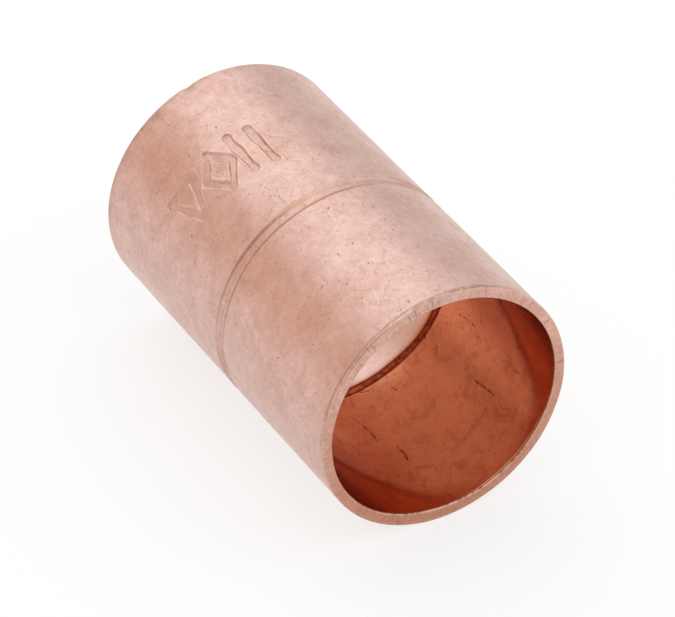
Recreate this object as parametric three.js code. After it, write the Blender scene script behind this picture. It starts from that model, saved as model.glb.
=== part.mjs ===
// A drawn-copper solder coupling with a rolled tube stop.
// It joins two lengths of 7/8 inch outside-diameter copper tube end to end.
// Millimetres, +Z up. The bore runs along X, the middle of the length is the origin,
// and the coupling lies on its side as it does on a bench.

import * as THREE from 'three';

// Driving dimensions
const SOCKET_BORE = 22.33;         // takes a 22.225 mm tube with a soldering gap
const WALL = 0.985;                // drawn wall thickness
const LENGTH = 39.9;               // end face to end face
const STOP_OFFSET = 1.5;           // the rolled stop sits this far from mid-length, towards +X

const GROOVE_WIDTH = 1.6;          // lip to lip of the rolled groove, on the outside
const GROOVE_DEPTH = 0.3;
const GROOVE_WALL = 0.45;          // axial run of each sloping side of the groove

const RIDGE_WIDTH = 1.6;           // foot to foot of the ridge that the groove raises inside
const RIDGE_HEIGHT = 0.35;
const RIDGE_SIDE = 0.65;           // axial run of each flank of the ridge

const OUTER_EDGE_BREAK = 0.15;     // saw-cut ends, edges rounded by tumbling
const INNER_EDGE_BREAK = 0.1;

const FLANK_STEPS = 4;             // straight steps in each flank of the groove and the ridge
const EDGE_STEPS = 2;              // straight steps in each rounded edge
const SIDES = 32;                  // flats around the circumference, wide enough to lie still on

// Worked out from the driving dimensions
const BORE_RADIUS = SOCKET_BORE / 2;
const OUTER_RADIUS = BORE_RADIUS + WALL;
const HALF_LENGTH = LENGTH / 2;
const FLAT_ANGLE = 2 * Math.PI / SIDES;
const CORNER_SCALE = 1 / Math.cos(FLAT_ANGLE / 2);   // puts the flats, not the corners, on the true circle

// A flank rises from 0 to 1 in an even S-curve, without a corner at its foot or its crest.
function sCurve(t) {
  return (1 - Math.cos(Math.PI * t)) / 2;
}

// Points of a low bump or groove of revolution, from its -X foot to its +X foot.
// A positive height stands out from baseRadius, a negative one goes in.
function rolledForm(baseRadius, height, width, flank) {
  const points = [];
  for (let i = 0; i <= FLANK_STEPS; i++) {
    const t = i / FLANK_STEPS;
    points.push([baseRadius + height * sCurve(t), STOP_OFFSET - width / 2 + flank * t]);
  }
  for (let i = FLANK_STEPS; i >= 0; i--) {
    const t = i / FLANK_STEPS;
    points.push([baseRadius + height * sCurve(t), STOP_OFFSET + width / 2 - flank * t]);
  }
  return points;
}

// A quarter round of the given size about (radius, x), starting at the angle from.
function edgeRound(radius, x, size, from, to) {
  const points = [];
  for (let i = 0; i <= EDGE_STEPS; i++) {
    const angle = from + (to - from) * (i / EDGE_STEPS);
    points.push([radius + size * Math.cos(angle), x + size * Math.sin(angle)]);
  }
  return points;
}

// The closed outline of the wall as (radius, position along the bore),
// up the outside from the -X end and back down the bore.
function wallOutline() {
  const outerCentre = OUTER_RADIUS - OUTER_EDGE_BREAK;
  const innerCentre = BORE_RADIUS + INNER_EDGE_BREAK;
  const outerEdge = HALF_LENGTH - OUTER_EDGE_BREAK;
  const innerEdge = HALF_LENGTH - INNER_EDGE_BREAK;
  const quarter = Math.PI / 2;
  const outline = [
    ...edgeRound(outerCentre, -outerEdge, OUTER_EDGE_BREAK, -quarter, 0),
    ...rolledForm(OUTER_RADIUS, -GROOVE_DEPTH, GROOVE_WIDTH, GROOVE_WALL),
    ...edgeRound(outerCentre, outerEdge, OUTER_EDGE_BREAK, 0, quarter),
    ...edgeRound(innerCentre, innerEdge, INNER_EDGE_BREAK, quarter, 2 * quarter),
    ...rolledForm(BORE_RADIUS, -RIDGE_HEIGHT, RIDGE_WIDTH, RIDGE_SIDE).reverse(),
    ...edgeRound(innerCentre, -innerEdge, INNER_EDGE_BREAK, 2 * quarter, 3 * quarter),
  ];
  outline.push(outline[0]);
  return outline.map(([radius, x]) => new THREE.Vector2(radius * CORNER_SCALE, x));
}

// The whole coupling is one drawn wall: two sockets with the rolled stop between them.
// The lathe turns about its own Y, which is laid along +X, and half a step of turn
// puts one of its flats underneath, where the coupling lies.
function couplingBody() {
  const geometry = new THREE.LatheGeometry(wallOutline(), SIDES, FLAT_ANGLE / 2);
  const material = new THREE.MeshStandardMaterial({
    color: 0xd0a08c,
    roughness: 0.42,
    metalness: 1.0,
  });
  const mesh = new THREE.Mesh(geometry, material);
  mesh.name = 'coupling_body';
  mesh.rotation.z = -Math.PI / 2;
  return mesh;
}

const group = new THREE.Group();
group.add(couplingBody());

export default group;
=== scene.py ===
"""A drawn-copper solder coupling with a rolled tube stop, lying on a pale studio floor.

The coupling is one piece: a fine copper wall that stands for the plain CAD one. Lengths in the
modelling code are millimetres, and angles are degrees around the bore, from +Y towards +Z. MM turns
the finished points and the shader coordinates between millimetres and the frame's metres.
"""

import math

import bmesh
import bpy
import numpy as np
from mathutils import Matrix, Vector


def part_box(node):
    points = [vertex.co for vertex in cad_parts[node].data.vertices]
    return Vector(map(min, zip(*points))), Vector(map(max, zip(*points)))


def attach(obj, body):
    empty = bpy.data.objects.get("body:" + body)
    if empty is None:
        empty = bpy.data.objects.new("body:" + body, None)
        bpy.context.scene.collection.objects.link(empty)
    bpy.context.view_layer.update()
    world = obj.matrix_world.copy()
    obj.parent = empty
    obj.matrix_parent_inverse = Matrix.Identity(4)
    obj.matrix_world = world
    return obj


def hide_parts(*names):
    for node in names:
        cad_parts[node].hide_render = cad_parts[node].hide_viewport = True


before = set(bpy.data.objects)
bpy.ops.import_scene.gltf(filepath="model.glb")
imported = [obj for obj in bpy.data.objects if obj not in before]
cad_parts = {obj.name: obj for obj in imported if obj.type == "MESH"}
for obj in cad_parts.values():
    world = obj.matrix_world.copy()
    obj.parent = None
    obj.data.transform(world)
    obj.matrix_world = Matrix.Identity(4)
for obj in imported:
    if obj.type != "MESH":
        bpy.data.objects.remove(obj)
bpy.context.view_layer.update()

MM = 0.001
SEED = 7

# ---------------------------------------------------------------- sizes, in millimetres
low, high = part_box("coupling_body")
LENGTH = (high.x - low.x) / MM
OUTER_RADIUS = (high.z - low.z) / 2 / MM
WALL = 0.985
BORE_RADIUS = OUTER_RADIUS - WALL
HALF_LENGTH = LENGTH / 2

STOP_X = 1.5            # middle of the rolled groove, from mid-length towards +X
GROOVE_HALF = 0.80      # half of its width, lip to lip
GROOVE_DEPTH = 0.26
GROOVE_STEEP = 0.36     # run of its steep side, towards -X
GROOVE_SLOW = 0.70      # run of its slower side, towards +X
GROOVE_BURR = 0.030     # height of the burr along the steep side's lip
GROOVE_BEAD = 0.010     # height of the bead along the other lip

RIDGE_X = 1.3           # the ridge that it raises inside sits a little further back
RIDGE_HALF = 0.78       # from there to the ridge's foot on the +X side
RIDGE_HEIGHT = 0.34
RIDGE_FLANK = 0.70      # run of its +X flank
RIDGE_BACK = 3.0        # run of its gentler -X flank

OUTER_EDGE_RUN = 0.34   # the rounded outer edge of each end, along the bore
OUTER_EDGE_DROP = 0.22  # and into the wall
INNER_EDGE_RUN = 0.10
INNER_EDGE_DROP = 0.07
SHARPEST_EDGE = 0.30    # the least share of the outer rounding left on the +X end
FAR_EDGE = 0.35         # its share on the -X end
TORN_EDGE = 0.06        # height of the bumps along the torn part of the +X end's outer edge
INWARD_LIP = 0.25       # how far the saw's burr leans into the bore

COLUMNS = 288           # faces around, before the finer areas are divided

# (middle, spread) in degrees around the bore: where each kind of work, wear, painted shade and painted
# highlight is strongest
WORN_EDGE = (130.0, 50.0)
TORN_BUMPS = (75.0, 40.0)
TORN_STAIN = (86.0, 42.0)
RIM_SHADE = (140.0, 45.0)
RIM_HIGHLIGHT = (112.0, 6.0)
GROOVE_SHADE = (142.0, 24.0)
GROOVE_HIGHLIGHT = (104.0, 30.0)
LEANING_LIP = (-97.0, 36.0)
MOUTH_BURR = (-75.0, 55.0)
BORE_HIGHLIGHT = (-21.0, 7.0)
RIDGE_FOOT_SHADE = (-84.0, 10.0)


# ---------------------------------------------------------------- small helpers
def smooth(t):
    """0 to 1 with level ends."""
    t = np.clip(t, 0.0, 1.0)
    return t * t * (3.0 - 2.0 * t)


def turn_between(angle, centre):
    """The smallest turn from centre to angle, in degrees."""
    return (angle - centre + 180.0) % 360.0 - 180.0


def arc_between(angle, centre):
    """The same turn as a length around the outside, in millimetres."""
    return np.radians(turn_between(angle, centre)) * OUTER_RADIUS


def bell(value, spread):
    """1 in the middle, falling to almost nothing at twice the spread."""
    return np.exp(-((value / spread) ** 2))


def bell_around(angle, centre, spread):
    """The same around the bore, in degrees."""
    return bell(turn_between(angle, centre), spread)


def spread_points(start, end, step):
    """Evenly spaced values from start to end, both included, about step apart."""
    count = max(2, int(round(abs(end - start) / step)) + 1)
    return np.linspace(start, end, count)


def segment_distance(u, v, start, end):
    """Distance from (u, v) to the straight stroke between two points."""
    du, dv = end[0] - start[0], end[1] - start[1]
    t = np.clip(((u - start[0]) * du + (v - start[1]) * dv) / (du * du + dv * dv), 0.0, 1.0)
    return np.hypot(u - start[0] - t * du, v - start[1] - t * dv)


# ---------------------------------------------------------------- unevenness of the drawn wall
def wave_table(count, seed, shortest, longest, harmonics):
    """Random low waves of a surface: turns around, turns per mm along, phase and height."""
    random = np.random.default_rng(seed)
    around = random.integers(0, harmonics + 1, count)
    along = random.choice([-1, 1], count) / random.uniform(shortest, longest, count)
    phase = random.uniform(0, 2 * np.pi, count)
    height = random.uniform(0.4, 1.0, count) / (1.0 + 0.25 * around)
    return list(zip(around, along, phase, height / np.sqrt(np.sum(height**2))))


def waves(table, x, angle):
    """The height of the table's waves together, mostly between -1 and 1."""
    total = np.zeros(np.broadcast(x, angle).shape)
    for around, along, phase, height in table:
        total = total + height * np.cos(np.radians(around * angle) + 2 * np.pi * along * x + phase)
    return total


# how many waves, seed, shortest and longest in mm, most turns around
OUTER_WAVES = wave_table(26, SEED, 6.0, 26.0, 14)
INNER_WAVES = wave_table(30, SEED + 1, 5.0, 22.0, 16)
FACE_WAVES = wave_table(14, SEED + 2, 3.0, 9.0, 18)
PATCH_WAVES = wave_table(24, SEED + 3, 1.2, 6.0, 40)

OUTER_WAVE_HEIGHT = 0.009   # mm
INNER_WAVE_HEIGHT = 0.016
FACE_WAVE_HEIGHT = 0.018


def patchy(x, angle, shift):
    """An uneven strength from 0 to 1 that changes every millimetre or so. Each shift is another."""
    return smooth(0.5 + 0.42 * waves(PATCH_WAVES, x + 11.0 * shift, angle + 57.0 * shift))


def patchy_around(angle, shift, times=1):
    """The same, but even along the bore, and so many times finer around it."""
    return patchy(0.0, times * angle, shift)


# (height in mm, (middle, spread) in degrees): where the +X end bulges out of its true circle
NEAR_BULGES = [(0.04, (0.0, 26.0)), (0.06, (-40.0, 55.0))]
FAR_OVAL = 0.03             # how far the -X end is oval, in mm
FAR_OVAL_ANGLE = 60.0


def out_of_round(x, angle):
    """How far the wall stands out from its true circle towards each end."""
    near = smooth((x - STOP_X) / (HALF_LENGTH - STOP_X))
    far = smooth((STOP_X - x) / (HALF_LENGTH + STOP_X))
    near_shape = sum(height * bell_around(angle, *place) for height, place in NEAR_BULGES)
    far_shape = FAR_OVAL * np.cos(np.radians(2 * (angle - FAR_OVAL_ANGLE)))
    return near * near_shape + far * far_shape


# ---------------------------------------------------------------- the rolled stop
def groove_offset(x, angle):
    """Distance along the bore from the middle of the groove, whose lips wander a little."""
    wander = 0.03 * np.cos(np.radians(2 * angle + 40)) + 0.015 * np.cos(np.radians(7 * angle))
    return x - STOP_X - wander


def groove_depth(x, angle):
    """A steep side at the -X lip, with a raised burr, and a slower rise to the +X lip."""
    t = groove_offset(x, angle)
    steep = smooth((t + GROOVE_HALF) / GROOVE_STEEP)
    slow = smooth((GROOVE_HALF - t) / GROOVE_SLOW)
    burr = bell(t + GROOVE_HALF + 0.07, 0.07) * (0.3 + 0.7 * patchy_around(angle, 1))
    bead = bell(t - GROOVE_HALF - 0.05, 0.10)
    return GROOVE_DEPTH * np.minimum(steep, slow) - GROOVE_BURR * burr - GROOVE_BEAD * bead


# (shift along the bore in mm, (middle, spread) in degrees): where the ridge strays
RIDGE_STRAYS = [(0.18, (-25.0, 30.0)), (-0.15, (-85.0, 35.0))]


def ridge_offset(x, angle):
    """Distance along the bore from the ridge's crest, which wanders more."""
    strayed = sum(shift * bell_around(angle, *place) for shift, place in RIDGE_STRAYS)
    return x - RIDGE_X - strayed - 0.03 * np.cos(np.radians(9 * angle + 10))


def ridge_height(x, angle):
    """An uneven ridge with a short +X flank and a long -X one."""
    t = ridge_offset(x, angle)
    uneven = 1.0 + 0.10 * np.cos(np.radians(5 * angle + 30)) + 0.05 * np.cos(np.radians(13 * angle))
    front = smooth((RIDGE_HALF - t) / RIDGE_FLANK)
    back = smooth((RIDGE_BACK + t) / RIDGE_BACK)
    return RIDGE_HEIGHT * uneven * np.minimum(front, back)


# ---------------------------------------------------------------- the pressed mark
MARK_X = -8.4                       # middle of the mark, on the long half
MARK_LOW, MARK_HIGH = -11.9, -4.9   # the area that it takes, along and around
MARK_FROM, MARK_TO = 94.0, 156.0
MARK_DEPTH = 0.17
MARK_BEAD = 0.022                   # height of the metal pushed up beside a stroke
STROKE = 0.37                       # half the width of a stroke
STROKE_WALL = 0.13                  # run of a stroke's sloping side
STROKE_WANDER = 0.16                # how far a stroke's sides wander

# strokes as pairs of points, (along, around) in millimetres from the middle of each shape
TWIN_BARS = [((-2.5, -1.0), (2.9, -1.0)), ((-2.8, 1.0), (2.6, 1.0))]
LOZENGE = [
    ((-2.7, 0.0), (0.0, -1.6)), ((0.0, -1.6), (2.7, 0.0)),
    ((2.7, 0.0), (0.0, 1.6)), ((0.0, 1.6), (-2.7, 0.0)),
]
TRIANGLE = [((-2.3, -1.7), (-2.3, 1.7)), ((-2.3, 1.7), (2.6, 0.0)), ((2.6, 0.0), (-2.3, -1.7))]
# (angle, strokes, strength)
MARK_SHAPES = [(106.5, TWIN_BARS, 1.0), (123.0, LOZENGE, 1.0), (141.0, TRIANGLE, 0.78)]


def mark_distances(x, angle):
    """For each shape, the distance to the middle of its nearest stroke, and its strength."""
    for centre, strokes, strength in MARK_SHAPES:
        v = arc_between(angle, centre)
        distance = np.minimum.reduce([segment_distance(x - MARK_X, v, *ends) for ends in strokes])
        wander = STROKE_WANDER * (patchy(x, angle, 14) - 0.5)
        yield distance + wander, strength * (0.6 + 0.5 * patchy(x, angle, 15))


def mark_depth(x, angle):
    """Depth of the pressed strokes, with the metal they push up in a low bead around them."""
    depth = np.zeros(np.broadcast(x, angle).shape)
    for distance, strength in mark_distances(x, angle):
        stroke = smooth((STROKE - distance) / STROKE_WALL + 0.5)
        bead = bell(distance - STROKE - 0.15, 0.10)
        depth = depth + strength * (MARK_DEPTH * stroke - MARK_BEAD * bead)
    return depth


# ---------------------------------------------------------------- knocks, nicks and scores
# (x, angle, half-length along, half-width around in mm, depth): knocks in the outer wall
OUTER_KNOCKS = [
    (-HALF_LENGTH + 0.1, 107.5, 0.45, 0.50, 0.15),
    (-HALF_LENGTH + 0.5, 126.3, 0.35, 0.40, 0.06),
    (13.0, 114.3, 0.16, 0.14, 0.04),
    (2.9, 126.6, 0.14, 0.12, 0.04),
]

# (angle, half-width in mm, from and to as shares of the wall, strength): saw nicks in the +X end
PLACED_NICKS = [
    (108.3, 0.07, 0.0, 0.75, 1.0), (105.1, 0.06, 0.1, 0.9, 0.9), (99.2, 0.05, 0.2, 0.7, 0.8),
    (96.7, 0.05, 0.3, 1.0, 0.7), (115.8, 0.05, 0.5, 1.0, 0.5),
    (128.0, 0.06, 0.1, 0.9, 0.8), (129.9, 0.05, 0.6, 1.0, 0.6),
    (136.7, 0.05, 0.0, 0.6, 0.5), (48.2, 0.06, 0.1, 0.8, 0.9), (43.3, 0.06, 0.4, 1.0, 0.9),
    (56.0, 0.04, 0.5, 1.0, 0.7), (62.4, 0.05, 0.0, 0.6, 0.6), (70.0, 0.05, 0.2, 0.8, 0.6),
    (78.4, 0.05, 0.1, 0.6, 0.7), (93.6, 0.05, 0.2, 0.9, 0.7), (28.6, 0.05, 0.2, 0.7, 0.6),
    (3.2, 0.10, 0.2, 0.9, 0.6), (-3.0, 0.06, 0.1, 0.6, 0.6), (-150.0, 0.06, 0.2, 1.0, 0.6),
]
RANDOM_NICKS = 26


def nick_table():
    """The placed nicks, and fainter ones at random."""
    random = np.random.default_rng(SEED + 4)
    nicks = list(PLACED_NICKS)
    for angle in random.uniform(0.0, 360.0, RANDOM_NICKS):
        start = random.uniform(0.0, 0.6)
        end = start + random.uniform(0.2, 0.7)
        nicks.append((angle, random.uniform(0.04, 0.08), start, end, random.uniform(0.15, 0.55)))
    return nicks


NICKS = nick_table()
NICK_DEPTH = 0.04
NICK_DIRT = 0.90        # how dark the deepest is
NICK_REACH = 0.55       # how far from the end face the nicks are seen


def nick_strength(x, angle, across):
    """Saw nicks across the wall of the +X end; across is 0 at the bore and 1 at the outside."""
    total = np.zeros(np.broadcast(x, angle).shape)
    for centre, width, start, end, strength in NICKS:
        along = smooth((across - start) / 0.15 + 0.5) * smooth((end - across) / 0.15 + 0.5)
        total = np.maximum(total, strength * along * bell(arc_between(angle, centre), width))
    return total * smooth((x - HALF_LENGTH + NICK_REACH) / 0.25)


# ((x, angle) points, half-width in mm, strength): scores down the bore
INNER_SCORES = [
    ([(6.89, -36.5), (8.9, -36.8), (10.4, -36.7)], 0.035, 0.55),
    ([(10.4, -36.8), (11.4, -36.3), (12.1, -35.7), (13.3, -35.4)], 0.09, 1.0),
    ([(10.9, -35.5), (11.7, -37.1)], 0.06, 0.8),
    ([(4.6, -92.6), (5.9, -91.4), (7.0, -90.7)], 0.05, 0.8),
    ([(6.3, -91.0), (7.4, -90.4), (8.8, -90.8)], 0.09, 0.9),
    ([(10.3, -85.3), (11.4, -84.7), (12.5, -86.0)], 0.08, 1.0),
    ([(11.2, -85.9), (11.9, -84.0)], 0.05, 0.7),
    ([(2.7, -67.8), (3.6, -67.1), (4.6, -66.8)], 0.05, 0.7),
    ([(3.6, -67.6), (4.2, -66.3)], 0.08, 0.8),
    ([(3.7, -38.6), (4.4, -38.9)], 0.05, 0.9),
    ([(4.1, -40.3), (4.2, -37.6)], 0.04, 0.7),
    ([(4.8, -18.4), (6.2, -17.3), (7.6, -17.1)], 0.06, 0.8),
    ([(6.0, -19.0), (7.0, -16.3)], 0.05, 0.7),
    ([(8.0, -19.2), (9.0, -20.4)], 0.06, 0.7),
    ([(10.5, 6.9), (11.1, 4.9)], 0.07, 0.8),
    ([(9.0, -52.4), (9.6, -49.2), (10.1, -48.2), (11.0, -48.6), (11.3, -50.0)], 0.05, 0.22),
    ([(12.3, -14.2), (15.2, -17.1)], 0.05, 0.35),
    ([(2.0, -81.2), (2.4, -76.8)], 0.09, 0.8),
    ([(2.3, -74.4), (2.3, -70.9)], 0.05, 0.7),
    ([(2.5, -40.2), (1.8, -37.9)], 0.06, 0.8),
    ([(13.6, -60.0), (16.2, -61.5)], 0.03, 0.35),
    ([(7.4, -70.0), (9.1, -71.2)], 0.03, 0.35),
]
# (x, angle, half-width in mm): single pits in the bore
INNER_PITS = [
    (10.3, -75.9, 0.10), (12.7, -52.5, 0.09), (18.0, -12.0, 0.13), (4.0, -73.5, 0.09),
    (8.7, -104.0, 0.09), (14.8, -83.0, 0.07), (6.3, -55.0, 0.07), (15.6, -40.0, 0.07),
]
SCORE_DEPTH = 0.005
SCORE_STRENGTH = 0.9
SCORE_SPREAD = 1.65     # a score fades out over this many half-widths


def score_strength(x, angle):
    """How much of a score or a pit is at each point of the bore, from 0 to 1."""
    total = np.zeros(np.broadcast(x, angle).shape)
    for points, width, strength in INNER_SCORES:
        middle = points[len(points) // 2][1]
        v = np.radians(turn_between(angle, middle)) * BORE_RADIUS
        flat = [(px, math.radians(pa - middle) * BORE_RADIUS) for px, pa in points]
        distance = np.minimum.reduce([segment_distance(x, v, a, b) for a, b in zip(flat, flat[1:])])
        score = strength * bell(distance, SCORE_SPREAD * width)
        total = np.maximum(total, SCORE_STRENGTH * score)
    for at_x, at_angle, width in INNER_PITS:
        v = np.radians(turn_between(angle, at_angle)) * BORE_RADIUS
        total = np.maximum(total, SCORE_STRENGTH * bell(np.hypot(x - at_x, v), width))
    return total


def knock_depth(x, angle):
    """Depth of the knocks in the outer wall."""
    depth = np.zeros(np.broadcast(x, angle).shape)
    for at_x, at_angle, along, around, deep in OUTER_KNOCKS:
        depth = depth + deep * bell(x - at_x, along) * bell(arc_between(angle, at_angle), around)
    return depth


# ---------------------------------------------------------------- the plain wall
OUTSIDE, INSIDE, CUT = 0, 1, 2      # the surfaces, each with its own material
END_DEPTH = 0.6                     # the last plain station before each end
TORN_DEPTHS = (0.50, 0.42)          # stations in the torn part beyond it
LIP_DEPTHS = (0.15, 0.20)           # stations of the lip at the +X mouth, still part of the cut end
MOUTH_DEPTHS = (0.25, 0.30, 0.42)   # and of the bore behind it


def edge_rows(side, radius, into_wall, run, drop, from_turn, to_turn, steps):
    """Rows of a rounded edge. Turn 0 is where it leaves the wall, 90 where it meets the end."""
    rows = []
    for turn in np.radians(np.linspace(from_turn, to_turn, steps)):
        x = side * (HALF_LENGTH - run * (1.0 - math.sin(turn)))
        rows.append((x, radius + into_wall * drop * (1.0 - math.cos(turn))))
    return rows


def outside_rows():
    """Stations along the outside, closest in the groove."""
    groove_low = STOP_X - GROOVE_HALF - 0.28
    groove_high = STOP_X + GROOVE_HALF + 0.22
    stations = np.concatenate([
        spread_points(-HALF_LENGTH + END_DEPTH, MARK_LOW, 0.75)[:-1],
        spread_points(MARK_LOW, MARK_HIGH, 0.30)[:-1],
        spread_points(MARK_HIGH, groove_low, 0.75)[:-1],
        spread_points(groove_low, groove_high, 0.062)[:-1],
        spread_points(groove_high, HALF_LENGTH - END_DEPTH, 0.75),
        HALF_LENGTH - np.array(TORN_DEPTHS),
    ])
    return [(x, OUTER_RADIUS) for x in stations]


def inside_rows():
    """Stations along the bore from the +X mouth to the -X mouth, closest in the ridge."""
    ridge_low = RIDGE_X - RIDGE_BACK - 0.3
    ridge_top = RIDGE_X - 0.55
    ridge_high = RIDGE_X + RIDGE_HALF + 0.45
    stations = np.concatenate([
        HALF_LENGTH - np.array(MOUTH_DEPTHS),
        spread_points(HALF_LENGTH - END_DEPTH, ridge_high, 0.60)[:-1],
        spread_points(ridge_high, ridge_top, 0.075)[:-1],
        spread_points(ridge_top, ridge_low, 0.30)[:-1],
        spread_points(ridge_low, -HALF_LENGTH + END_DEPTH, 0.9),
    ])
    return [(x, BORE_RADIUS) for x in stations]


def face_rows(side, start_radius, end_radius, steps):
    """Rows of an end face, without the two that belong to its edges."""
    return [(side * HALF_LENGTH, r) for r in np.linspace(start_radius, end_radius, steps + 2)[1:-1]]


def wall_rows():
    """The wall's closed outline as rows of (x, radius, surface): out to +X, and back down the bore."""
    face_outer = OUTER_RADIUS - OUTER_EDGE_DROP
    face_inner = BORE_RADIUS + INNER_EDGE_DROP
    outer = (OUTER_RADIUS, -1, OUTER_EDGE_RUN, OUTER_EDGE_DROP)
    inner = (BORE_RADIUS, 1, INNER_EDGE_RUN, INNER_EDGE_DROP)
    sections = [
        (CUT, edge_rows(-1, *outer, 90, 0, 6)),
        (OUTSIDE, outside_rows()),
        (CUT, edge_rows(1, *outer, 0, 90, 8)),
        (CUT, face_rows(1, face_outer, face_inner, 6)),
        (CUT, edge_rows(1, *inner, 90, 0, 4)),
        (CUT, [(HALF_LENGTH - depth, BORE_RADIUS) for depth in LIP_DEPTHS]),
        (INSIDE, inside_rows()),
        (CUT, edge_rows(-1, *inner, 0, 90, 4)),
        (CUT, face_rows(-1, face_inner, face_outer, 3)),
    ]
    return [(x, r, surface) for surface, rows in sections for x, r in rows]


def plain_wall():
    """The wall before it is worked: true circles, with a surface number on each face."""
    rows = wall_rows()
    turn = np.linspace(0.0, 2 * np.pi, COLUMNS, endpoint=False)
    x = np.array([row[0] for row in rows])[:, None] + 0 * turn
    r = np.array([row[1] for row in rows])[:, None]
    points = np.stack([x, r * np.cos(turn), r * np.sin(turn)], axis=-1).reshape(-1, 3)
    index = np.arange(x.size).reshape(x.shape)
    right = np.roll(index, -1, axis=1)
    above = np.roll(index, -1, axis=0)
    quads = np.stack([index, right, np.roll(above, -1, axis=1), above], axis=-1).reshape(-1, 4)
    surface = np.array([row[2] for row in rows])
    after = np.roll(surface, -1)
    # a face between the wall and a cut edge belongs to the wall
    face_surface = np.where(surface == CUT, after, surface)
    mesh = bpy.data.meshes.new("plain_wall")
    mesh.from_pydata(points.tolist(), [], quads.tolist())
    mesh.polygons.foreach_set("material_index", np.repeat(face_surface, COLUMNS).astype(np.int32))
    return mesh


# ---------------------------------------------------------------- finer faces where they are needed
TINY = 1e-4                         # mm, for lengths that should be equal
NEAR_WALL = 0.01                    # a face this close to the plain wall is on it
SCORED_FROM, SCORED_TO = 1.5, 18.6  # the stretch of the bore that has scores
SCORE_REACH = 0.55                  # faces this near a score's point are divided, along in mm
SCORE_TURN = 2.1                    # and around in degrees
MARK_CUTS, SCORE_CUTS, RIM_CUTS = 3, 2, 2


def polar(point):
    """A point's place along the bore, angle around it and distance from its axis."""
    return point.x, math.degrees(math.atan2(point.z, point.y)), math.hypot(point.y, point.z)


def in_mark(x, angle, r):
    """Whether a place is on the outside where the mark is pressed."""
    on_outside = r > OUTER_RADIUS - NEAR_WALL
    return on_outside and MARK_LOW < x < MARK_HIGH and MARK_FROM < angle < MARK_TO


def scored_points():
    """The points of every score and pit, as (x, angle)."""
    points = [point for route, _, _ in INNER_SCORES for point in route]
    return points + [(x, angle) for x, angle, _ in INNER_PITS]


SCORED_POINTS = scored_points()


def near_score(x, angle, r):
    """Whether a place is in the bore next to a score or a pit."""
    if r > BORE_RADIUS + NEAR_WALL or not SCORED_FROM < x < SCORED_TO:
        return False
    for at_x, at_angle in SCORED_POINTS:
        if abs(at_x - x) < SCORE_REACH and abs(turn_between(angle, at_angle)) < SCORE_TURN:
            return True
    return False


def divide(shape, test, cuts):
    """Divides the faces whose middles pass the test."""
    edges = set()
    for face in shape.faces:
        if test(*polar(face.calc_center_median())):
            edges.update(face.edges)
    bmesh.ops.subdivide_edges(shape, edges=list(edges), cuts=cuts, use_grid_fill=True)


def divide_rim(shape, cuts):
    """Splits the +X end around the rim only, for the saw nicks."""
    edges = []
    for edge in shape.edges:
        a, b = (vertex.co for vertex in edge.verts)
        level = abs(a.x - b.x) < TINY and abs(polar(a)[2] - polar(b)[2]) < TINY
        if level and a.x > HALF_LENGTH - OUTER_EDGE_RUN - NEAR_WALL:
            edges.append(edge)
    bmesh.ops.subdivide_edges(shape, edges=edges, cuts=cuts, use_grid_fill=False)


# ---------------------------------------------------------------- working the wall
def edge_share(x, angle):
    """How much of the full rounding the outer edge has: all of it only at the worn upper left."""
    worn = SHARPEST_EDGE + (1.0 - SHARPEST_EDGE) * bell_around(angle, *WORN_EDGE)
    return np.where(x > 0.0, worn, FAR_EDGE)


def edges_sharpened(x, angle, r):
    """Draws the rounded outer edges in towards the sharp corner where they are less worn."""
    share = edge_share(x, angle)
    depth = HALF_LENGTH - np.abs(x)
    face_outer = OUTER_RADIUS - OUTER_EDGE_DROP
    face_inner = BORE_RADIUS + INNER_EDGE_DROP
    on_edge = (depth < OUTER_EDGE_RUN + TINY) & (r > face_outer - TINY)
    on_face = (depth < TINY) & (r > face_inner) & ~on_edge
    stretch = (1.0 - share) * OUTER_EDGE_DROP * (r - face_inner) / (face_outer - face_inner)
    new_x = np.where(on_edge, np.sign(x) * (HALF_LENGTH - share * depth), x)
    new_r = np.where(on_edge, OUTER_RADIUS - share * (OUTER_RADIUS - r), r + on_face * stretch)
    return new_x, new_r


def inward_lip(x, angle):
    """The saw's burr, turned into the bore along the bottom of the +X mouth."""
    at_mouth = smooth((x - HALF_LENGTH + 0.30) / 0.10)
    return INWARD_LIP * bell_around(angle, *LEANING_LIP) * at_mouth


def torn_bumps(x, angle, across):
    """How far the torn part of the +X end's outer edge stands out or in."""
    torn = bell_around(angle, *TORN_BUMPS) * smooth((across - 0.8) / 0.2)
    torn = torn * smooth((x - HALF_LENGTH + 0.4) / 0.3)
    return TORN_EDGE * torn * (patchy_around(angle, 19, 4) - 0.5)


def worked(x, angle, r, nicks, across):
    """Moves every point of the wall to its place: groove, ridge, mark, knocks, nicks and waves."""
    outer_change = (
        OUTER_WAVE_HEIGHT * waves(OUTER_WAVES, x, angle)
        - groove_depth(x, angle) - mark_depth(x, angle) - knock_depth(x, angle)
    )
    inner_change = (
        INNER_WAVE_HEIGHT * waves(INNER_WAVES, x, angle)
        - ridge_height(x, angle) - inward_lip(x, angle) + SCORE_DEPTH * score_strength(x, angle)
    )
    new_r = r + out_of_round(x, angle) + across * outer_change + (1.0 - across) * inner_change
    new_r = new_r - 0.5 * NICK_DEPTH * nicks * smooth((across - 0.7) / 0.3)
    new_r = new_r + torn_bumps(x, angle, across)
    near_end = smooth((np.abs(x) - HALF_LENGTH + 1.0) / 0.9)
    face_change = FACE_WAVE_HEIGHT * (waves(FACE_WAVES, 3.0 * r, angle) - 1.0)
    new_x = x + np.sign(x) * near_end * face_change - NICK_DEPTH * nicks
    return new_x, new_r
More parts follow.
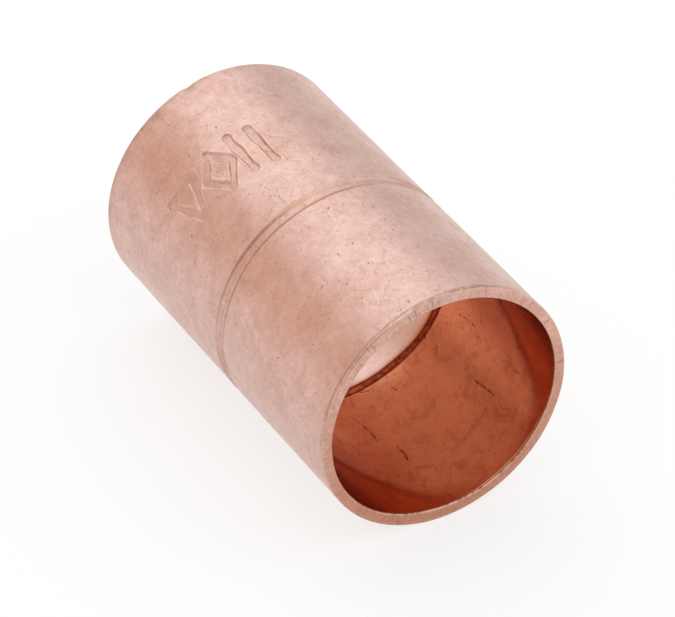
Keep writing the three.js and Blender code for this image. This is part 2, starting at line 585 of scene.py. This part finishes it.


# ---------------------------------------------------------------- tarnish, wear, painted shade and painted highlights
# Each function gives how dark each point is with tarnish or painted shade, and how bright with wear or
# painted highlight, from 0 to 1.
def groove_shade_and_highlight(x, angle):
    """Painted shade along the steep side on the left, and a painted highlight with a thin line of
    painted shade on top.
    """
    t = groove_offset(x, angle)
    steep_lip, slow_lip = t + GROOVE_HALF, t - GROOVE_HALF
    left = 0.25 + 0.95 * bell_around(angle, *GROOVE_SHADE)
    dark = left * bell(steep_lip - 0.08, 0.055) * (0.35 + 0.65 * patchy_around(angle, 2))
    dark = dark + 0.22 * bell(slow_lip + 0.15, 0.13) * patchy_around(angle, 3)
    dark = dark + 0.06 * smooth((GROOVE_HALF - np.abs(t)) / 0.2)
    lit_side = bell_around(angle, *GROOVE_HIGHLIGHT)
    thin_line = bell(steep_lip + 0.03, 0.045) * patchy_around(angle, 16, 2)
    dark = np.maximum(dark * (1.0 - 0.9 * lit_side), 0.85 * lit_side * thin_line)
    within = smooth(steep_lip / 0.2) * smooth(-slow_lip / 0.1)
    dark = np.maximum(dark, 0.20 * lit_side * within * smooth((t + 0.5) / 1.2))
    bright = lit_side * bell(steep_lip - 0.15, 0.13) * (0.45 + 0.55 * patchy_around(angle, 4))
    return dark, bright


def mark_shade_and_highlight(x, angle):
    """Painted shade along the sides and on the floors of the strokes, and a faint painted highlight on
    the beads beside them.
    """
    dark, bright = 0.0, 0.0
    for distance, strength in mark_distances(x, angle):
        side = bell(distance - STROKE, 0.06) * (0.15 + 0.85 * patchy(x, 2 * angle, 5))
        floor_shade = 0.16 * smooth((STROKE - distance) / 0.1)
        dark = np.maximum(dark, strength * (0.62 * side + floor_shade))
        bead = bell(distance - STROKE - 0.14, 0.06) * patchy(x, angle, 6)
        bright = np.maximum(bright, 0.45 * strength * bead)
    return dark, bright


def rim_shade_and_highlight(x, angle, across, side):
    """A brown line of painted shade behind an end's outer edge, and a painted highlight on the edge
    itself.
    """
    depth = HALF_LENGTH - side * x
    behind_edge = bell(depth - OUTER_EDGE_RUN - 0.02, 0.16) * smooth((across - 0.8) / 0.1)
    shade_amount = 0.30 + 0.45 * bell_around(angle, *RIM_SHADE)
    dark = behind_edge * shade_amount * (0.35 + 0.65 * patchy_around(angle, 7 + side, 3))
    on_edge = bell(depth - 0.16, 0.12) * smooth((across - 0.7) / 0.15)
    painted_highlight = 0.60 - 0.45 * bell_around(angle, *RIM_SHADE) + 0.75 * bell_around(angle, *RIM_HIGHLIGHT)
    return dark, painted_highlight * on_edge * patchy_around(angle, 9 + side, 2)


def torn_wear(x, angle, across):
    """Two broken dark lines along the torn part of the +X end's outer edge."""
    depth = HALF_LENGTH - x
    upper_line = bell(depth - 0.50, 0.05) * smooth((patchy_around(angle, 20, 4) - 0.40) / 0.25)
    lower_line = bell(depth - 0.33, 0.07) * smooth((patchy_around(angle, 22, 5) - 0.30) / 0.25)
    between = smooth((0.56 - depth) / 0.06) * smooth((depth - 0.05) / 0.1)
    torn = bell_around(angle, *TORN_STAIN) * smooth((across - 0.75) / 0.15)
    dark = torn * (0.34 * between + 0.95 * np.maximum(upper_line, lower_line))
    return dark, 0.08 * torn * between


def burr_wear(x, angle, across):
    """Bright specks on the burr around the lower part of the +X mouth."""
    on_burr = bell(HALF_LENGTH - x, 0.16) * (1.0 - smooth(across / 0.14))
    in_specks = smooth((patchy_around(angle, 11, 6) - 0.6) / 0.2)
    return 0.0, 0.9 * on_burr * bell_around(angle, *MOUTH_BURR) * in_specks


def bore_scores_and_highlight(x, angle):
    """Dark scores, and a bright patch of painted reflection."""
    painted_highlight = bell(x - 7.5, 3.6) * bell_around(angle, *BORE_HIGHLIGHT)
    return score_strength(x, angle), 0.6 * painted_highlight * (0.3 + 0.5 * patchy(x, angle, 17))


def ridge_shade_and_lightening(x, angle):
    """Painted shade: a dark streak down the ridge's +X flank and another at its foot, with the flank
    around them lightened.
    """
    s = ridge_offset(x, angle)
    ragged = 0.14 * (patchy_around(angle, 18, 5) - 0.5)
    streak = 0.92 * bell(s - 0.42 - ragged, 0.15) * (0.2 + 0.8 * patchy_around(angle, 12, 2))
    foot_line = bell(s - 0.66 - ragged, 0.08) * patchy_around(angle, 13, 3)
    foot_line = foot_line * (0.10 + 0.65 * bell_around(angle, *RIDGE_FOOT_SHADE))
    band = 0.06 * smooth((s + 0.10) / 0.2) * smooth((RIDGE_HALF - s) / 0.5)
    flank = bell(s - 0.44, 0.36) * (0.5 + 0.5 * patchy_around(angle, 21, 2))
    return np.maximum(np.maximum(streak, foot_line), band), 0.6 * flank


def wear_shade_and_highlight(x, angle, nicks, across):
    """The strongest of all the kinds of wear, painted shade and painted highlight at each point."""
    outer = smooth((across - 0.6) / 0.3)
    inner = 1.0 - smooth((across - 0.1) / 0.3)
    knocked = np.minimum(knock_depth(x, angle) / 0.05, 0.5)
    layers = [
        (outer, groove_shade_and_highlight(x, angle)),
        (outer, mark_shade_and_highlight(x, angle)),
        (outer, (knocked, 0.0)),
        (inner, bore_scores_and_highlight(x, angle)),
        (inner, ridge_shade_and_lightening(x, angle)),
        (1.0, rim_shade_and_highlight(x, angle, across, -1)),
        (1.0, rim_shade_and_highlight(x, angle, across, 1)),
        (1.0, torn_wear(x, angle, across)),
        (1.0, burr_wear(x, angle, across)),
        (NICK_DIRT, (nicks, 0.0)),
    ]
    tarnish_and_shade = np.zeros(x.shape)
    polish_and_highlight = np.zeros(x.shape)
    for share, (dark, bright) in layers:
        tarnish_and_shade = np.maximum(tarnish_and_shade, share * dark)
        polish_and_highlight = np.maximum(polish_and_highlight, share * bright)
    return np.clip(tarnish_and_shade, 0.0, 1.0), np.clip(polish_and_highlight, 0.0, 1.0)


# ---------------------------------------------------------------- the finished wall
ON_CIRCLE = 0.004       # how far inside the circle a divided edge may have left a point


def back_on_circle(r, radius):
    """A divided edge of a circle runs straight between its ends, so it goes back to the circle."""
    return np.where(np.abs(r - radius) < ON_CIRCLE, radius, r)


def divided_wall():
    """The plain wall with finer faces in the mark, at the scores and around the +X rim."""
    mesh = plain_wall()
    shape = bmesh.new()
    shape.from_mesh(mesh)
    divide(shape, in_mark, MARK_CUTS)
    divide(shape, near_score, SCORE_CUTS)
    divide_rim(shape, RIM_CUTS)
    shape.to_mesh(mesh)
    shape.free()
    return mesh


def coupling_mesh(name):
    """The worked wall, with its tarnish and painted shade and its polish and painted highlights kept
    on its points for the materials.
    """
    mesh = divided_wall()
    mesh.name = name
    points = np.empty(len(mesh.vertices) * 3)
    mesh.vertices.foreach_get("co", points)
    x, y, z = points.reshape(-1, 3).T
    angle = np.degrees(np.arctan2(z, y))
    r = back_on_circle(back_on_circle(np.hypot(y, z), OUTER_RADIUS), BORE_RADIUS)
    edged_x, edged_r = edges_sharpened(x, angle, r)
    across = np.clip((edged_r - BORE_RADIUS) / WALL, 0.0, 1.0)
    nicks = nick_strength(edged_x, angle, across)
    new_x, new_r = worked(edged_x, angle, edged_r, nicks, across)
    tarnish_and_shade, polish_and_highlight = wear_shade_and_highlight(x, angle, nicks, across)
    turn = np.radians(angle)
    placed = np.stack([new_x, new_r * np.cos(turn), new_r * np.sin(turn)], axis=-1) * MM
    mesh.vertices.foreach_set("co", placed.ravel())
    for label, values in (("tarnish_and_shade", tarnish_and_shade), ("polish_and_highlight", polish_and_highlight)):
        layer = mesh.attributes.new(label, "FLOAT", "POINT")
        layer.data.foreach_set("value", values.astype(np.float32))
    mesh.polygons.foreach_set("use_smooth", np.ones(len(mesh.polygons), dtype=bool))
    mesh.update()
    return mesh


# ---------------------------------------------------------------- material nodes
MIX_FACTOR, MIX_FIRST, MIX_SECOND, MIX_RESULT = 0, 6, 7, 2      # a colour Mix node's sockets
MICROMETRE = 1e-6


class Nodes:
    """A node tree, with short calls for the nodes used here."""

    def __init__(self, tree):
        self.tree = tree
        self.tree.nodes.clear()

    def add(self, kind, settings=None, **inputs):
        """A new node with these settings and inputs, where _ stands for a space in an input's name."""
        node = self.tree.nodes.new(kind)
        for key, value in (settings or {}).items():
            setattr(node, key, value)
        for key, value in inputs.items():
            self.put(node.inputs[key.replace("_", " ")], value)
        return node

    def put(self, socket, value):
        """Links a node's output to a socket, or sets the socket to a value."""
        if isinstance(value, bpy.types.NodeSocket):
            self.tree.links.new(value, socket)
        else:
            socket.default_value = value

    def math(self, operation, first, second=0.0, third=0.0):
        """The result of a Math node."""
        node = self.tree.nodes.new("ShaderNodeMath")
        node.operation = operation
        for socket, value in zip(node.inputs, (first, second, third)):
            self.put(socket, value)
        return node.outputs[0]

    def scaled(self, scale, seed_shift=0.0):
        """Object coordinates turned to millimetres, times a scale for each axis."""
        coordinates = self.add("ShaderNodeTexCoord").outputs["Object"]
        mapping = self.add("ShaderNodeMapping", Vector=coordinates)
        mapping.inputs["Scale"].default_value = [s / MM for s in scale]
        mapping.inputs["Location"].default_value = [seed_shift, 0.6 * seed_shift, -seed_shift]
        return mapping.outputs[0]

    def noise(self, scale, detail=3.0, roughness=0.55, distortion=0.0, vector=None, shift=0.0):
        """Noise with scale in features per millimetre."""
        vector = vector or self.scaled((scale, scale, scale), shift)
        node = self.add("ShaderNodeTexNoise", Vector=vector, Scale=1.0, Detail=detail,
                        Roughness=roughness, Distortion=distortion)
        return node.outputs["Fac"]

    def ramp(self, value, low_at, high_at, low=0.0, high=1.0):
        """A soft step from low to high while value goes from low_at to high_at."""
        node = self.add("ShaderNodeMapRange", {"interpolation_type": "SMOOTHSTEP"}, Value=value)
        for socket, number in zip(("From Min", "From Max", "To Min", "To Max"),
                                  (low_at, high_at, low, high)):
            self.put(node.inputs[socket], number)
        return node.outputs[0]

    def mix(self, factor, first, second):
        """From the first colour to the second as the factor goes from 0 to 1."""
        node = self.add("ShaderNodeMix", {"data_type": "RGBA"})
        self.put(node.inputs[MIX_FACTOR], factor)
        self.put(node.inputs[MIX_FIRST], first)
        self.put(node.inputs[MIX_SECOND], second)
        return node.outputs[MIX_RESULT]

    def tint(self, color, amount, strength, tinted):
        """The colour with so much of another over it."""
        return self.mix(self.math("MULTIPLY", amount, strength), color, tinted)

    def tone(self, parts):
        """A grain around 0.5 made of noises, each given as (features per mm, detail, strength)."""
        total = 0.5
        for number, (scale, detail, strength) in enumerate(parts):
            centred = self.math("SUBTRACT", self.noise(scale, detail, 0.65, 0.0, None, number), 0.5)
            total = self.math("MULTIPLY_ADD", centred, strength, total)
        return total

    def surface_value(self, label):
        """The tarnish and painted shade, or the polish and painted highlights, kept on the mesh's
        points.
        """
        return self.add("ShaderNodeAttribute", {"attribute_name": label}).outputs["Fac"]

    def bump(self, height, micrometres, normal=None):
        """A normal that is tilted as if the surface rose so far where height is 1."""
        node = self.add("ShaderNodeBump", Height=height, Distance=micrometres * MICROMETRE)
        if normal is not None:
            self.put(node.inputs["Normal"], normal)
        return node.outputs[0]

    def metal(self, color, roughness, normal):
        """Ends the tree with a metal of that finish, and gives its shader."""
        shader = self.add("ShaderNodeBsdfPrincipled", Metallic=1.0, Roughness=roughness)
        self.put(shader.inputs["Base Color"], color)
        self.put(shader.inputs["Normal"], normal)
        output = self.add("ShaderNodeOutputMaterial")
        self.tree.links.new(shader.outputs[0], output.inputs["Surface"])
        return shader


def new_material(name):
    """A new material, and its empty node tree."""
    material = bpy.data.materials.new(name)
    material.use_nodes = True
    return material, Nodes(material.node_tree)


def rgb(red, green, blue):
    """A linear colour for a node's socket."""
    return (red, green, blue, 1.0)


def specks(n, scale, threshold, patch_scale, patch_threshold, shift):
    """Small irregular specks that come in loose patches: 1 in a speck, 0 elsewhere."""
    fine = n.ramp(n.noise(scale, 1.0, 0.5, 0.0, None, shift), threshold, threshold + 0.05)
    patch = n.noise(patch_scale, 2.0, 0.5, 0.0, None, shift)
    return n.math("MULTIPLY", fine, n.ramp(patch, patch_threshold, patch_threshold + 0.1))


def hairlines(n, scale, width, patch_threshold, shift):
    """Short fine scratches that wander: the borders of large warped cells, broken into pieces."""
    vector = n.scaled((0.5, 0.5, 0.5), shift)
    wander = n.add("ShaderNodeTexNoise", Vector=vector, Scale=1.0, Detail=1.0)
    warped = n.add("ShaderNodeVectorMath", {"operation": "MULTIPLY_ADD"})
    n.put(warped.inputs[0], wander.outputs["Color"])
    n.put(warped.inputs[1], (0.9, 0.9, 0.9))
    n.put(warped.inputs[2], n.scaled((scale * 0.8, scale, scale), shift))
    borders = {"feature": "DISTANCE_TO_EDGE"}
    cells = n.add("ShaderNodeTexVoronoi", borders, Vector=warped.outputs[0], Scale=1.0)
    line = n.ramp(cells.outputs["Distance"], width * scale, 0.0)
    patch = n.noise(0.8, 2.0, 0.5, 0.0, None, shift + 3.0)
    return n.math("MULTIPLY", line, n.ramp(patch, patch_threshold, patch_threshold + 0.08))


PINK_LIGHT, PINK_DARK = rgb(0.815, 0.580, 0.515), rgb(0.510, 0.270, 0.218)
TAN_LIGHT, TAN_DARK = rgb(0.800, 0.558, 0.475), rgb(0.495, 0.252, 0.192)
OUTSIDE_GRAIN = [(0.35, 2.0, 0.66), (1.3, 2.0, 0.50), (3.5, 2.0, 0.42), (7.0, 1.0, 0.20)]


def outside_copper():
    """Satin copper that has been tumbled and handled: mottled, speckled and faintly scratched."""
    material, n = new_material("copper_outside")
    clouds = n.ramp(n.noise(0.13, 3.0, 0.6, 0.3), 0.38, 0.62)
    tone = n.tone(OUTSIDE_GRAIN)
    light = n.mix(clouds, PINK_LIGHT, TAN_LIGHT)
    dark = n.mix(clouds, PINK_DARK, TAN_DARK)
    color = n.mix(tone, dark, light)
    stains = n.ramp(n.noise(0.7, 5.0, 0.72, 0.5), 0.57, 0.70)
    color = n.tint(color, stains, 0.17, rgb(0.50, 0.27, 0.21))
    fine_dots = specks(n, 4.2, 0.68, 0.55, 0.50, 5.0)
    dots = n.math("MAXIMUM", fine_dots, specks(n, 2.6, 0.735, 0.4, 0.45, 9.0))
    dots = n.math("MAXIMUM", dots, specks(n, 1.8, 0.745, 0.3, 0.45, 13.0))
    freckles = specks(n, 3.4, 0.61, 0.8, 0.47, 17.0)
    color = n.tint(color, freckles, 0.40, rgb(0.56, 0.30, 0.20))
    color = n.tint(color, dots, 0.62, rgb(0.17, 0.085, 0.055))
    long_lines = hairlines(n, 0.45, 0.026, 0.47, 2.0)
    lines = n.math("MAXIMUM", long_lines, hairlines(n, 0.85, 0.018, 0.48, 7.0))
    color = n.tint(color, lines, 0.40, rgb(0.30, 0.15, 0.10))
    tarnish_and_shade, polish_and_highlight = n.surface_value("tarnish_and_shade"), n.surface_value("polish_and_highlight")
    # painted shade in the groove, along the mark's strokes and behind the ends' edges, with real
    # tarnish
    color = n.tint(color, tarnish_and_shade, 0.72, rgb(0.25, 0.088, 0.042))
    # painted highlights on the groove's lip, the mark's beads and the ends' edges
    color = n.tint(color, polish_and_highlight, 0.9, rgb(0.98, 0.63, 0.46))
    roughness = n.math("MULTIPLY_ADD", tone, -0.10, 0.42)
    roughness = n.math("MULTIPLY_ADD", dots, 0.2, roughness)
    normal = n.bump(n.noise(1.2, 5.0, 0.6), 7.0)
    normal = n.bump(n.noise(6.5, 2.0, 0.6), 1.2, normal)
    normal = n.bump(n.math("SUBTRACT", 1.0, n.math("MAXIMUM", dots, lines)), 8.0, normal)
    shader = n.metal(color, roughness, normal)
    n.put(shader.inputs["Coat Weight"], 0.15)
    n.put(shader.inputs["Coat Roughness"], 0.28)
    return material


FAR_DARK, FAR_LIGHT = rgb(0.60, 0.370, 0.305), rgb(0.83, 0.575, 0.495)
SHADED_NEAR_DARK, SHADED_NEAR_LIGHT = rgb(0.570, 0.180, 0.086), rgb(0.745, 0.303, 0.165)
INSIDE_GRAIN = [(0.22, 2.0, 0.55), (0.9, 2.0, 0.5), (3.2, 2.0, 0.6), (8.0, 1.0, 0.5)]


def inside_tarnish_and_shade(n):
    """The points' tarnish and painted shade, broken up and with ragged borders."""
    tarnish_and_shade, polish_and_highlight = n.surface_value("tarnish_and_shade"), n.surface_value("polish_and_highlight")
    ragged = n.math("SUBTRACT", n.noise(4.0, 3.0, 0.7, 0.5), 0.5)
    broken = n.ramp(n.noise(1.7, 4.0, 0.75, 0.3), 0.42, 0.56, 0.62, 1.0)
    tarnish_and_shade = n.math("MULTIPLY_ADD", ragged, 1.5, n.math("MULTIPLY", tarnish_and_shade, broken))
    return n.ramp(tarnish_and_shade, 0.17, 0.78), polish_and_highlight


def inside_copper():
    """The bore: smoother than the outside, with drag marks, and a painted shade that deepens its
    colour up to the ridge.
    """
    material, n = new_material("copper_inside")
    along = n.add("ShaderNodeSeparateXYZ", Vector=n.scaled((1.0, 1.0, 1.0))).outputs["X"]
    # painted shade: the bore from the +X mouth up to the ridge takes the deeper colours
    near = n.ramp(along, RIDGE_X - 0.6, RIDGE_X + 0.5)
    tone = n.tone(INSIDE_GRAIN)
    far_color = n.mix(tone, FAR_DARK, FAR_LIGHT)
    shaded_near_color = n.mix(tone, SHADED_NEAR_DARK, SHADED_NEAR_LIGHT)
    color = n.mix(near, far_color, shaded_near_color)
    stains = n.ramp(n.noise(0.55, 5.0, 0.74, 0.7), 0.48, 0.66)
    color = n.tint(color, n.math("MULTIPLY", stains, near), 0.45, rgb(0.38, 0.095, 0.040))
    drags = n.ramp(n.noise(1.0, 3.0, 0.6, 0.3, n.scaled((0.30, 2.4, 2.4))), 0.66, 0.75)
    color = n.tint(color, drags, 0.45, rgb(0.22, 0.07, 0.04))
    dots = specks(n, 3.0, 0.70, 0.5, 0.50, 5.0)
    color = n.tint(color, dots, 0.55, rgb(0.12, 0.04, 0.03))
    tarnish_and_shade, polish_and_highlight = inside_tarnish_and_shade(n)
    # painted shade down the ridge's flank and at its foot, with the real scores and pits
    color = n.tint(color, tarnish_and_shade, 0.82, rgb(0.185, 0.052, 0.025))
    # painted highlight on a patch of the bore and on the ridge's flank
    highlight_patches = n.math("MULTIPLY", polish_and_highlight, n.ramp(n.noise(2.6, 4.0, 0.7, 0.4), 0.40, 0.62))
    color = n.mix(highlight_patches, color, rgb(0.93, 0.49, 0.29))
    roughness = n.math("MULTIPLY_ADD", tone, -0.08, 0.20)
    roughness = n.math("MULTIPLY_ADD", n.math("SUBTRACT", 1.0, near), 0.20, roughness)
    roughness = n.math("MULTIPLY_ADD", polish_and_highlight, 0.30, roughness)
    roughness = n.math("MULTIPLY_ADD", n.math("MAXIMUM", drags, tarnish_and_shade), 0.2, roughness)
    normal = n.bump(n.noise(0.9, 5.0, 0.55), 9.0)
    normal = n.bump(n.noise(5.5, 2.0, 0.5), 1.6, normal)
    normal = n.bump(n.math("SUBTRACT", 1.0, dots), 8.0, normal)
    n.metal(color, roughness, normal)
    return material


SHADED_LOW_DARK, SHADED_LOW_LIGHT = rgb(0.36, 0.145, 0.090), rgb(0.66, 0.325, 0.225)
HIGH_DARK, HIGH_LIGHT = rgb(0.46, 0.240, 0.180), rgb(0.85, 0.550, 0.455)
CUT_GRAIN = [(0.35, 2.0, 0.4), (1.6, 2.0, 0.6), (5.0, 2.0, 0.8)]
STREAKS_AROUND = 46.0       # features of the wide radial streaks in one radian
SAW_LINES_AROUND = 150.0    # and of the fine saw lines


def radial_noise(n, direction, features, detail, roughness):
    """Noise that changes only around the bore, so it makes radial streaks on an end face."""
    stretched = n.add("ShaderNodeVectorMath", {"operation": "SCALE"}, Scale=features)
    n.put(stretched.inputs[0], direction.outputs[0])
    return n.noise(1.0, detail, roughness, 0.0, stretched.outputs[0])


def cut_copper():
    """The sawn and tumbled ends: radial saw marks, and a painted shade that darkens and browns them
    towards the bottom.
    """
    material, n = new_material("copper_cut")
    position = n.add("ShaderNodeSeparateXYZ", Vector=n.scaled((1.0, 1.0, 1.0)))
    around = n.add("ShaderNodeCombineXYZ", Y=position.outputs["Y"], Z=position.outputs["Z"])
    direction = n.add("ShaderNodeVectorMath", {"operation": "NORMALIZE"})
    n.put(direction.inputs[0], around.outputs[0])
    streaks = radial_noise(n, direction, STREAKS_AROUND, 3.0, 0.7)
    tone = n.tone(CUT_GRAIN)
    tone = n.math("MULTIPLY_ADD", n.math("SUBTRACT", streaks, 0.5), 0.45, tone)
    # painted shade: the ends darken and brown towards the bottom
    height = n.ramp(position.outputs["Z"], -1.1 * OUTER_RADIUS, 0.85 * OUTER_RADIUS)
    light = n.mix(height, SHADED_LOW_LIGHT, HIGH_LIGHT)
    dark = n.mix(height, SHADED_LOW_DARK, HIGH_DARK)
    color = n.mix(tone, dark, light)
    sawn = n.ramp(radial_noise(n, direction, SAW_LINES_AROUND, 2.0, 0.6), 0.60, 0.72)
    sawn = n.math("MULTIPLY", sawn, n.ramp(n.noise(1.4, 2.0, 0.6), 0.46, 0.60))
    color = n.tint(color, sawn, 0.70, rgb(0.30, 0.13, 0.08))
    flecks = n.ramp(n.noise(2.2, 3.0, 0.65, 0.4), 0.60, 0.70)
    color = n.tint(color, flecks, 0.45, rgb(0.30, 0.15, 0.10))
    tarnish_and_shade, polish_and_highlight = n.surface_value("tarnish_and_shade"), n.surface_value("polish_and_highlight")
    # painted shade behind the ends' outer edges, with the real nicks and torn lines
    color = n.tint(color, tarnish_and_shade, 0.75, rgb(0.16, 0.06, 0.035))
    # painted highlight along the ends' outer edges
    color = n.tint(color, polish_and_highlight, 0.8, rgb(0.98, 0.74, 0.62))
    roughness = n.math("MULTIPLY_ADD", tone, -0.1, 0.48)
    normal = n.bump(streaks, 6.0)
    normal = n.bump(n.noise(3.5, 4.0, 0.6), 4.0, normal)
    n.metal(color, roughness, normal)
    return material


FLOOR_GLOW = 0.74


def floor_paint():
    """A white light table: it glows a little, so shadows on it stay faint."""
    material, n = new_material("studio_floor")
    shader = n.add("ShaderNodeBsdfPrincipled", Roughness=0.8)
    n.put(shader.inputs["Base Color"], rgb(0.25, 0.25, 0.25))
    n.put(shader.inputs["Emission Color"], rgb(1.0, 1.0, 1.0))
    n.put(shader.inputs["Emission Strength"], FLOOR_GLOW)
    output = n.add("ShaderNodeOutputMaterial")
    n.tree.links.new(shader.outputs[0], output.inputs["Surface"])
    return material


# ---------------------------------------------------------------- camera
VIEW_TURN = 60.3            # degrees around from looking along +Y
VIEW_RISE = 36.6            # degrees above the floor
VIEW_DISTANCE = 32.61       # in outer radii, from the middle of the coupling
LENS = 235.8                # mm on a 36 mm sensor
AIM_RIGHT = 0.0502          # how far right of and below the coupling's middle the view is
AIM_DOWN = 0.1392           # centred, in outer radii
CLIP = (0.01, 20.0)         # metres


def camera():
    """Looks down into the +X end from in front of it, with a long lens."""
    turn, rise = math.radians(VIEW_TURN), math.radians(VIEW_RISE)
    right = Vector((math.cos(turn), math.sin(turn), 0.0))
    level = math.cos(rise)
    back = Vector((math.sin(turn) * level, -math.cos(turn) * level, math.sin(rise)))
    up = back.cross(right)
    radius = OUTER_RADIUS * MM
    place = radius * (VIEW_DISTANCE * back + AIM_RIGHT * right - AIM_DOWN * up)
    data = bpy.data.cameras.new("photo_view")
    data.lens = LENS
    data.clip_start, data.clip_end = CLIP
    view = bpy.data.objects.new("photo_view", data)
    view.matrix_world = Matrix.Translation(place) @ Matrix((right, up, back)).transposed().to_4x4()
    bpy.context.scene.collection.objects.link(view)
    bpy.context.scene.camera = view


# ---------------------------------------------------------------- studio
# (middle direction, degrees to full strength, degrees to none, colour): panels of the light tent
TENT_PANELS = [
    ((-0.70, -0.72, 0.20), 12.0, 52.0, (0.92, 0.755, 0.655)),
    ((-0.70, 0.07, 0.71), 10.0, 36.0, (1.42, 1.50, 1.52)),
    ((-0.70, 0.70, 0.12), 8.0, 30.0, (0.84, 0.84, 0.84)),
    ((0.72, -0.48, 0.46), 16.0, 34.0, (0.40, 0.27, 0.20)),
]


def tent():
    """A white light tent with a bright panel above, warm and grey ones behind, and a dim front."""
    world = bpy.data.worlds.new("light_tent")
    world.use_nodes = True
    n = Nodes(world.node_tree)
    direction = n.add("ShaderNodeTexCoord").outputs["Generated"]
    color = rgb(1.0, 1.0, 1.0)
    for middle, core, edge, tint in TENT_PANELS:
        toward = n.add("ShaderNodeVectorMath", {"operation": "DOT_PRODUCT"})
        n.put(toward.inputs[0], direction)
        n.put(toward.inputs[1], Vector(middle).normalized())
        faded, full = math.cos(math.radians(edge)), math.cos(math.radians(core))
        color = n.mix(n.ramp(toward.outputs["Value"], faded, full), color, rgb(*tint))
    background = n.add("ShaderNodeBackground", Color=color, Strength=1.0)
    output = n.add("ShaderNodeOutputWorld")
    n.tree.links.new(background.outputs[0], output.inputs["Surface"])
    scene = bpy.context.scene
    scene.world = world
    scene.view_settings.view_transform = "Standard"
    scene.view_settings.look = "None"
    scene.cycles.max_bounces = 16
    scene.cycles.glossy_bounces = 12


FLOOR_HALF = 3.0            # metres


def floor():
    """The pale floor that the coupling lies on."""
    mesh = bpy.data.meshes.new("studio_floor")
    height = -OUTER_RADIUS * MM
    ends = (-FLOOR_HALF, FLOOR_HALF)
    points = [(x, y, height) for y in ends for x in (ends if y < 0.0 else reversed(ends))]
    mesh.from_pydata(points, [], [(0, 1, 2, 3)])
    mesh.materials.append(floor_paint())
    ground = bpy.data.objects.new("studio_floor", mesh)
    bpy.context.scene.collection.objects.link(ground)


# ---------------------------------------------------------------- the coupling
def coupling():
    """The one piece of the object, in place of its plain CAD node."""
    mesh = coupling_mesh("copper_coupling")
    for material in (outside_copper(), inside_copper(), cut_copper()):
        mesh.materials.append(material)
    piece = bpy.data.objects.new("copper_coupling", mesh)
    bpy.context.scene.collection.objects.link(piece)
    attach(piece, "root")
    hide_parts("coupling_body")


camera()
tent()
floor()
coupling()
